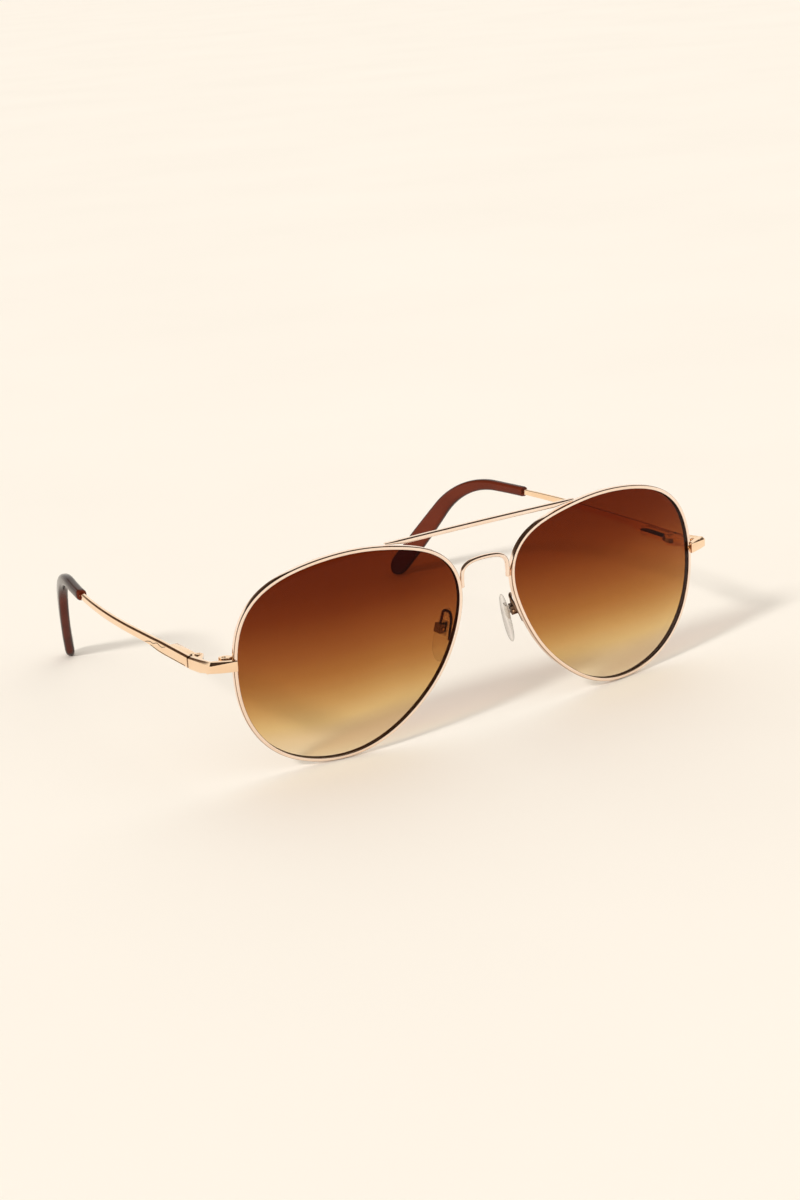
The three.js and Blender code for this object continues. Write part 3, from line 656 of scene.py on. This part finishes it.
# Stations from the rim round the corner to the hinge: outer x and y, inner x and y, underside,
# height of the bevel's lower edge, height of the top, and the bevel's width. The first two are
# the lap over the rim wire.
ENDPIECE = np.array([
    (66.20, 4.85, 66.20, 5.46, 2.02, 4.48, 4.60, 0.10),
    (66.94, 5.05, 66.94, 5.53, 2.00, 4.46, 4.60, 0.14),
    (66.98, 5.06, 66.98, 7.02, 2.00, 4.46, 4.60, 0.16),
    (68.40, 5.50, 68.30, 7.28, 2.05, 4.36, 4.66, 0.32),
    (69.90, 5.98, 69.60, 7.60, 2.10, 4.26, 4.72, 0.46),
    (71.20, 6.44, 70.40, 7.80, 2.22, 4.16, 4.77, 0.58),
    (72.00, 6.74, 70.90, 7.92, 2.28, 4.10, 4.80, 0.66),
    (72.33, 7.05, 71.06, 8.05, 2.26, 4.08, 4.78, 0.68),
    (72.37, 7.80, 71.08, 8.40, 2.14, 4.00, 4.68, 0.68),
    (72.39, 9.40, 71.09, 9.60, 1.75, 3.83, 4.46, 0.64),
    (72.42, 12.00, 71.12, 12.00, 1.10, 3.56, 4.10, 0.58),
    (72.45, 15.00, 71.15, 15.00, 0.78, 3.25, 3.72, 0.54),
    (72.48, 17.62, 71.18, 17.62, 0.52, 2.98, 3.40, 0.52),
])
ENDPIECE_END = 17.84
ENDPIECE_EDGE = 0.20
ENDPIECE_ROUND = 0.07
ENDPIECE_STEPS = 5
SAME_PLACE = 0.05


def endpiece_ring(station, shrink=0.0, reach=0.0):
    """The strip's section at a station, drawn in all round or moved backwards for its ends."""
    ox, oy, ix, iy, under, bevel_foot, top, bevel = station
    outer, inner = np.array([ox, oy + reach]), np.array([ix, iy + reach])
    thick = np.linalg.norm(inner - outer)
    inward = (inner - outer) / thick
    corners = [
        (shrink, under + shrink), (thick - shrink, under + shrink), (thick - shrink, top - shrink),
        (bevel + shrink, top - shrink), (shrink, bevel_foot - shrink),
    ]
    section = softened(corners, [ENDPIECE_ROUND] * 5, 3)
    return [(*(outer + inward * a), z) for a, z in section]


def paint_gap_shade(piece, faces):
    """Painted shade: darkened metal on the two faces of the narrow gap between endpiece and temple,
    for the shadow inside the gap.
    """
    piece.data.materials.append(painted_shade_gold)
    for face in faces:
        face.material_index = 1


def make_endpiece(name, side):
    rings = [endpiece_ring(ENDPIECE[0], ENDPIECE_EDGE / 2)]
    for first, second in zip(ENDPIECE, ENDPIECE[1:]):
        steps = 1 if max(second[:2] - first[:2]) < SAME_PLACE else ENDPIECE_STEPS
        rings += [endpiece_ring(first + (second - first) * t) for t in np.arange(steps) / steps]
    rings.append(endpiece_ring(ENDPIECE[-1]))
    rings.append(endpiece_ring(ENDPIECE[-1], ENDPIECE_EDGE, ENDPIECE_END - ENDPIECE[-1][1]))
    points, faces = loft(rings)
    strip = make_piece(
        f"endpiece_strip_{name}", from_front(points, side), faces, "front", [f"endpiece_{name}"],
        temple_gold, sharp=30,
    )
    size = len(rings[0])
    # Painted shade on the strip's end faces at the gap.
    paint_gap_shade(strip, [*strip.data.polygons[-2 - size:-2], strip.data.polygons[-1]])


# ---- Temples ----


def side_profile(s):
    """The centre line from the side: distance back, height and slope at a length along it."""
    bend = np.clip((s - BEND_START) / BEND_RADIUS, 0, BEND_ANGLE)
    tail = np.maximum(s - BEND_START - BEND_RADIUS * BEND_ANGLE, 0)
    out = np.minimum(s, BEND_START) + BEND_RADIUS * np.sin(bend) + tail * np.cos(bend)
    height = -BEND_RADIUS * (1 - np.cos(bend)) - tail * np.sin(bend)
    return out, height, bend


def temple_rings(lengths, sections):
    """Rings about the temple's centre line: section points are sideways, then upright."""
    rings = []
    for s, section in zip(lengths, sections):
        out, height, bend = side_profile(s)
        turn = max(out - BOW_START, 0) / BOW_RADIUS
        level = np.array([-math.sin(turn), math.cos(turn), 0])
        sideways = np.array([math.cos(turn), math.sin(turn), 0])
        past_bend = max(s - BEND_START, 0) / (TEMPLE_LENGTH - BEND_START)
        centre = np.array([
            TEMPLE_X - BOW_RADIUS * (1 - math.cos(turn)),
            min(out, BOW_START) + BOW_RADIUS * math.sin(turn),
            height,
        ]) - sideways * TIP_LEAN * past_bend**2
        upright = np.array([0, 0, 1]) * math.cos(bend) + level * math.sin(bend)
        section = np.array(section)
        rings.append(centre + section[:, :1] * sideways + section[:, 1:] * upright)
    return np.array(rings)


# Temple sections: length, half thickness, under edge, upper edge, and the width and drop of the
# bevel along the outer top edge.
TEMPLE = np.array([
    (0.26, 0.65, -1.45, 1.45, 0.52, 0.42), (13.6, 0.65, -1.45, 1.45, 0.52, 0.42),
    (15.0, 0.65, -1.41, 1.44, 0.52, 0.42), (16.4, 0.65, -1.30, 1.41, 0.52, 0.42),
    (17.8, 0.65, -1.10, 1.36, 0.52, 0.42), (19.0, 0.65, -0.90, 1.33, 0.52, 0.42),
    (20.4, 0.65, -0.78, 1.30, 0.52, 0.40), (32.0, 0.62, -0.80, 1.10, 0.50, 0.36),
    (44.0, 0.60, -0.85, 0.95, 0.50, 0.32), (55.0, 0.58, -0.80, 0.85, 0.48, 0.29),
    (65.3, 0.56, -0.75, 0.75, 0.46, 0.27),
])
TEMPLE_START = 0.16
TEMPLE_END_EDGE = 0.20
TEMPLE_ROUNDING = [0.20, 0.07, 0.07, 0.20, 0.20]
PLATE_START = 0.36
PLATE_END = 13.6
NECK_END = 20.4
BAR_END = 65.3
CORE_OVERLAP = 0.1
CORE_RADIUS = 0.6
CORE_END = 118.0
FROM_BELOW = -math.pi / 2


def make_temple(name, side):
    """The plate, the bar and the core wire inside the tip, in one."""
    lengths = np.unique(np.concatenate([
        [TEMPLE_START], np.linspace(PLATE_START, PLATE_END, 12),
        np.linspace(PLATE_END, NECK_END, 34), np.linspace(NECK_END, BAR_END, 60),
    ]))
    sections = []
    for s in lengths:
        half, under, upper, run, drop = (
            np.interp(s, TEMPLE[:, 0], TEMPLE[:, k]) for k in range(1, 6)
        )
        inset = TEMPLE_END_EDGE if s == TEMPLE_START else 0
        half, under, upper = half - inset, under + inset, upper - inset
        corners = [
            (half, under), (half, upper - drop), (half - run, upper), (-half, upper),
            (-half, under),
        ]
        sections.append(softened(corners, TEMPLE_ROUNDING, 4))
    core = np.linspace(TIP_START - CORE_OVERLAP, CORE_END, 40)
    count = len(sections[0])
    core_section = circle(CORE_RADIUS, count, FROM_BELOW)
    rings = np.concatenate([
        temple_rings(lengths, sections), temple_rings(core, [core_section] * len(core)),
    ])
    points, faces = loft(rings)
    bar = make_piece(
        f"temple_bar_{name}", from_hinge(points, side), faces, f"{name}_temple",
        [f"temple_{name}"], temple_gold, sharp=30,
    )
    # Painted shade on the temple's front end faces at the gap.
    paint_gap_shade(bar, [*bar.data.polygons[:count], bar.data.polygons[-2]])


# The engraved flourish on the temple plate: length from the hinge, then height.
FLOURISH = [
    (22.4, -0.52), (20.6, -0.02), (19.2, 0.22), (18.2, 0.10), (17.2, 0.30), (16.2, 0.66),
    (15.2, 0.74), (14.2, 0.44), (13.2, 0.36), (12.3, 0.62), (11.2, 0.95),
]
FLOURISH_TAIL = [
    (19.6, -0.60), (18.0, -0.78), (16.0, -0.98), (13.0, -1.12), (8.0, -1.15), (1.4, -1.15),
]
LINE_RADIUS = 0.115
LINE_SINK = 0.045
LINE_TAPER = 0.8
LINE_POINT = 0.25


def make_flourish(name, side, label, points):
    """A fine line sunk in the outer face of the temple plate, in dark metal that is painted shade of
    its groove.
    """
    face_x = TEMPLE_X + TEMPLE[0][1]
    curve = spaced(catmull_rom([(face_x - LINE_SINK, s, height) for s, height in points]), 90)
    wire = sweep(curve, circle(LINE_RADIUS, 8), (1, 0, 0))
    line, faces = loft(tapered_ends(wire, LINE_TAPER, LINE_POINT))
    make_piece(
        f"temple_{label}_{name}", from_hinge(line, side), faces, f"{name}_temple", [], groove_shade_metal,
    )


# The tip's half width and half height at its front and back ends, the shares of its length over
# which it widens and rounds off, and how narrow its very end becomes.
TIP_HALF_WIDTH = (1.35, 1.3)
TIP_HALF_HEIGHT = (1.4, 2.85)
TIP_WIDENING = (0.1, 0.75)
TIP_ROUNDING_FROM = 0.93
TIP_END_WIDTH = 0.4
TIP_END_HEIGHT = 0.05
TIP_CORNERS = 0.82
TIP_FRONT_EDGE = 0.93
BORE_RADIUS = 0.68
BORE_OVERRUN = 0.5


def tip_size(share):
    """The tip's half width and half height at a share of its length."""
    start, run = TIP_WIDENING
    t = np.clip((share - start) / run, 0, 1)
    widen = t * t * (3 - 2 * t)
    end = max(share - TIP_ROUNDING_FROM, 0) / (1 - TIP_ROUNDING_FROM)
    round_off = math.sqrt(max(1 - end * end, 0.0))
    wide = TIP_HALF_WIDTH[0] + (TIP_HALF_WIDTH[1] - TIP_HALF_WIDTH[0]) * widen
    high = TIP_HALF_HEIGHT[0] + (TIP_HALF_HEIGHT[1] - TIP_HALF_HEIGHT[0]) * widen
    narrowed = TIP_END_WIDTH + (1 - TIP_END_WIDTH) * round_off
    return wide * narrowed, high * max(round_off, TIP_END_HEIGHT)


def make_tip(name, side):
    """The moulded tip, with the bore that its core wire sits in."""
    rounding = (1 - TIP_ROUNDING_FROM) * np.sin(np.linspace(0.1, 1.55, 12))
    straight = np.linspace(0.006, TIP_ROUNDING_FROM, 70)
    shares = np.concatenate([[0], straight, TIP_ROUNDING_FROM + rounding])
    sections = []
    for share in shares:
        wide, high = np.array(tip_size(share)) * (TIP_FRONT_EDGE if share == 0 else 1)
        corner = TIP_CORNERS * min(tip_size(share))
        sections.append(rounded_rectangle(wide, high, corner, 5))
    outside = temple_rings(TIP_START + shares * (TEMPLE_LENGTH - TIP_START), sections)
    bore = circle(BORE_RADIUS, len(sections[0]), FROM_BELOW)
    inside = temple_rings(np.linspace(TIP_START, CORE_END + BORE_OVERRUN, 30), [bore] * 30)
    points, faces = loft(np.concatenate([outside[::-1], inside]))
    make_piece(
        f"tip_sleeve_{name}", from_hinge(points, side), faces, f"{name}_temple",
        [f"temple_tip_{name}"], acetate,
    )


# ---- Bridge and top bar ----

BRIDGE_HALF = [(6.55, 1.05, 9.9), (6.6, 1.1, 12.2), (6.2, 1.1, 14.4), (4.5, 1.0, 15.8)]
BRIDGE_TOP = (0, 0.9, 16.4)
BRIDGE_RADIUS = 0.55
WIRE_NOSE = 0.5
WIRE_END = 0.55


def make_bridge():
    path = [*BRIDGE_HALF, BRIDGE_TOP] + [(-x, y, z) for x, y, z in reversed(BRIDGE_HALF)]
    wire = sweep(spaced(catmull_rom(path), 140), circle(BRIDGE_RADIUS, 24))
    points, faces = loft(tapered_ends(wire, WIRE_NOSE, WIRE_END))
    make_piece(
        "bridge_wire", from_front(points), faces, "front", ["bridge"], rose_gold
    )


BAR_HALF_LENGTH = 27.2
BAR_TOP = 25.35
BAR_HALF_DEPTH = 0.6
BAR_ROUND = 0.5
BAR_Y = 2.2
BAR_BOW = 0.45
BAR_HEIGHT = 1.35
BAR_END_HEIGHT = 0.45
BAR_THINS_FROM = 21.5


def make_top_bar():
    """A bar that thins towards both ends, level along its top, its ends forward of its middle."""
    rings = []
    for x in np.linspace(-BAR_HALF_LENGTH, BAR_HALF_LENGTH, 121):
        share = abs(x) / BAR_HALF_LENGTH
        thin = np.clip((abs(x) - BAR_THINS_FROM) / (BAR_HALF_LENGTH - BAR_THINS_FROM), 0, 1)
        height = BAR_HEIGHT + (BAR_END_HEIGHT - BAR_HEIGHT) * thin
        section = rounded_rectangle(BAR_HALF_DEPTH, height / 2, BAR_ROUND, 6)
        y = BAR_Y - BAR_BOW * share * share
        rings.append([(x, y + a, BAR_TOP - height / 2 + b) for a, b in section])
    points, faces = loft(tapered_ends(np.array(rings), WIRE_NOSE, WIRE_END))
    make_piece(
        "top_bar_rod", from_front(points), faces, "front", ["top_bar"], rose_gold
    )


# ---- Nose pads ----

PAD_HALF_THICKNESS = 0.72
PAD_EDGE_POWER = 0.55
PAD_MIDDLE = 0.02
PAD_LENGTH_ROUNDING = 0.8
PAD_TAPER = 0.15
PAD_POINTS = 56
PAD_RINGS = 22


def make_pad(name, side):
    """A clear drop-shaped pad with rounded edges, a little narrower towards its top."""
    angles = np.linspace(0, 2 * math.pi, PAD_POINTS, endpoint=False)
    z = np.sin(angles)
    rings = []
    for turn in np.linspace(0, math.pi, PAD_RINGS):
        x = -PAD_HALF_THICKNESS * math.cos(turn)
        share = max(math.sin(turn) ** PAD_EDGE_POWER, PAD_MIDDLE)
        y = (PAD_WIDTH / 2) * np.cos(angles) * (1 - PAD_TAPER * z) * share
        half_length = (PAD_LENGTH / 2) * (1 - (1 - share) * PAD_LENGTH_ROUNDING)
        rings.append(np.stack([np.full(PAD_POINTS, x), y, half_length * z], 1))
    points, faces = loft(rings)
    return make_piece(
        f"pad_silicone_{name}", from_pad(points, side), faces, f"{name}_nose_pad",
        [f"nose_pad_{name}"], silicone, sharp=60,
    )


# The arm's wire from the back of the rim to the pad box, then two points on the box's axis.
ARM_PATH = [
    (10.9, 1.5, -2.6), (10.2, 1.9, -0.6), (9.1, 2.8, 2.0), (8.9, 3.9, 3.6), (9.7, 4.9, 3.8),
]
ARM_BOX_POINTS = [(-2.1, 0, PAD_MOUNT_HEIGHT + 2.8), (-2.1, 0, PAD_MOUNT_HEIGHT + 1.2)]
ARM_RADIUS = 0.36
ARM_NOSE = 0.35
ARM_END = 0.6


def make_arm(name, side):
    to_box = np.array(ARM_BOX_POINTS) @ pad_axes() + PAD_CENTRE
    curve = spaced(catmull_rom([*ARM_PATH, *to_box]), 90)
    wire = sweep(curve, circle(ARM_RADIUS, 18), (1, 0, 0))
    points, faces = loft(tapered_ends(wire, ARM_NOSE, ARM_END))
    # The arm's darkened gold is painted shade.
    make_piece(
        f"pad_arm_wire_{name}", from_front(points, side), faces, "front", [f"pad_arm_{name}"],
        arm_painted_shade_gold,
    )


# ---- Every piece ----

# CAD node, piece, body, material, slot and width of the rounded edges.
SMALL_PIECES = [
    ("rim_lug_upper", "lug_block_upper", "front", temple_gold, "rose_gold", 0.03),
    ("rim_lug_lower", "lug_block_lower", "front", temple_gold, "rose_gold", 0.03),
    ("rim_lock_screw", "lock_screw_head", "front", temple_gold, "screw_metal", 0.02),
    ("hinge_leaf", "hinge_leaf_plate", "front", temple_gold, "rose_gold", 0.10),
    ("hinge_screw", "hinge_screw_head", "front", temple_gold, "screw_metal", 0.02),
    # The pad box's darkened gold is painted shade.
    ("pad_box", "pad_box_shell", "front", arm_painted_shade_gold, "rose_gold", 0.04),
    ("pad_screw", "pad_screw_head", "front", screw_metal, "screw_metal", 0.04),
    ("hinge_slider", "slider_eye", "{}_hinge_slider", spring_steel, "spring_steel", 0.05),
    ("slider_nut", "slider_hex_nut", "{}_hinge_slider", spring_steel, "spring_steel", 0.04),
    ("hinge_spring", "spring_coil", "{}_temple", spring_steel, "spring_steel", 0.03),
    ("spring_case", "spring_case_shell", "{}_temple", temple_gold, "rose_gold", 0.04),
    ("pad_core", "pad_core_plate", "{}_nose_pad", core_metal, "core_metal", 0.05),
]


def compress_coil(name):
    """Give the coil its own copy of its mesh."""
    coil = bpy.data.objects[f"spring_coil_{name}"]
    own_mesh(coil)


for name, side in SIDES.items():
    make_rim(name, side)
    make_lens(name, side)
    make_endpiece(name, side)
    make_temple(name, side)
    make_flourish(name, side, "flourish", FLOURISH)
    make_flourish(name, side, "flourish_tail", FLOURISH_TAIL)
    make_tip(name, side)
    make_pad(name, side)
    make_arm(name, side)
    for cad_node, piece_name, body, material, slot, width in SMALL_PIECES:
        bevelled_copy(
            f"{cad_node}_{name}", f"{piece_name}_{name}", body.format(name), material, width
        )
    compress_coil(name)

make_bridge()
make_top_bar()

# ---- Floor, light and camera ----

FLOOR_SIZE = 80
FLOOR_PALE = (0.94, 0.905, 0.84)
FLOOR_DEEP = (0.92, 0.885, 0.82)
FLOOR_ROUGHNESS = 0.8
FLOOR_GLOSS = 0.1


def make_floor():
    bpy.ops.mesh.primitive_plane_add(size=FLOOR_SIZE, location=(0, 0, 0))
    floor = bpy.context.object
    floor.name = "floor"
    material, tree, shader = new_material("pale_floor")
    grain = ranged(tree, noise(tree, 6, 3), 0, 1)
    colour = colour_between(tree, grain, FLOOR_PALE, FLOOR_DEEP)
    tree.links.new(colour, shader.inputs["Base Color"])
    shader.inputs["Roughness"].default_value = FLOOR_ROUGHNESS
    shader.inputs["Specular IOR Level"].default_value = FLOOR_GLOSS
    floor.data.materials.append(material)


# How far up the surroundings are bright: at the back, and at the front behind the camera.
BRIGHT_TO_BACK = math.sin(math.radians(20))
BRIGHT_TO_FRONT = math.sin(math.radians(6))
# A bright patch reaches higher still towards the right and the back: its edges as x and y.
WINDOW_X = (0.12, 0.32)
WINDOW_Y = (0.0, 0.2)
# The surroundings' colour from well below the limit of the bright part to well above it.
SKY_REACH = (-0.2, 0.8)
SKY = [
    (0.00, (1.0, 0.95, 0.87)), (0.18, (0.98, 0.92, 0.83)), (0.25, (0.10, 0.06, 0.04)),
    (0.60, (0.035, 0.022, 0.015)), (1.00, (0.06, 0.045, 0.035)),
]


def make_world():
    """Bright surroundings low down and a dim room above, which draws dark lines on the metal."""
    world = bpy.data.worlds.new("studio")
    bpy.context.scene.world = world
    world.use_nodes = True
    tree = world.node_tree
    place = node(tree, "ShaderNodeTexCoord")
    split = node(tree, "ShaderNodeSeparateXYZ")
    tree.links.new(place.outputs["Generated"], split.inputs["Vector"])
    x, y, z = (split.outputs[axis] for axis in "XYZ")
    brim = ranged(tree, y, BRIGHT_TO_FRONT, BRIGHT_TO_BACK, -1, 1)
    above = combined(tree, "SUBTRACT", z, brim)
    to_right = ranged(tree, x, 0, 1, *WINDOW_X)
    to_back = ranged(tree, y, 0, 1, *WINDOW_Y)
    window = combined(tree, "MULTIPLY", to_right, to_back)
    outside = combined(tree, "SUBTRACT", above, window)
    share = ranged(tree, outside, 0, 1, *SKY_REACH)
    background = tree.nodes["Background"]
    tree.links.new(colour_ramp(tree, share, SKY), background.inputs["Color"])
    background.inputs["Strength"].default_value = 1


def make_sun(name, direction, spread, strength, colour):
    """A far, soft lamp that shines from a direction and leaves no highlight of its own."""
    data = bpy.data.lights.new(name, "SUN")
    data.angle = math.radians(spread)
    data.energy = strength
    data.color = colour
    lamp = bpy.data.objects.new(name, data)
    lamp.rotation_euler = (-direction).to_track_quat("-Z", "Y").to_euler()
    lamp.visible_glossy = False
    bpy.context.scene.collection.objects.link(lamp)


# Name, direction that the light comes from, spread in degrees, strength and colour.
SUNS = [
    ("key", Vector((-0.766, -0.317, 0.56)).normalized(), 9, 1.7, (1.0, 0.96, 0.91)),
    ("fill", Vector((0, 0, 1)), 170, 1.72, (1.0, 0.965, 0.92)),
]

CAMERA_TARGET = Vector((0.01005, -0.00802, 0.01667))
CAMERA_DISTANCE = 0.6320
CAMERA_AZIMUTH = math.radians(30.806)
CAMERA_ELEVATION = math.radians(16.212)
CAMERA_ROLL = math.radians(-4.797)
CAMERA_LENS = 71.767
SENSOR_WIDTH = 36
CLIP_START = 0.01
CLIP_END = 50


def make_camera():
    flat = math.cos(CAMERA_ELEVATION)
    back = Vector((
        -math.sin(CAMERA_AZIMUTH) * flat, -math.cos(CAMERA_AZIMUTH) * flat, math.sin(CAMERA_ELEVATION)
    ))
    data = bpy.data.cameras.new("camera")
    camera = bpy.data.objects.new("camera", data)
    camera.location = CAMERA_TARGET + back * CAMERA_DISTANCE
    turn = (-back).to_track_quat("-Z", "Y").to_matrix().to_4x4()
    camera.rotation_euler = (turn @ Matrix.Rotation(CAMERA_ROLL, 4, "Z")).to_euler()
    data.sensor_fit = "AUTO"
    data.sensor_width = SENSOR_WIDTH
    data.lens = CAMERA_LENS
    data.clip_start = CLIP_START
    data.clip_end = CLIP_END
    bpy.context.scene.collection.objects.link(camera)
    bpy.context.scene.camera = camera


make_floor()
make_world()
for sun in SUNS:
    make_sun(*sun)
make_camera()
bpy.context.scene.view_settings.view_transform = "Standard"
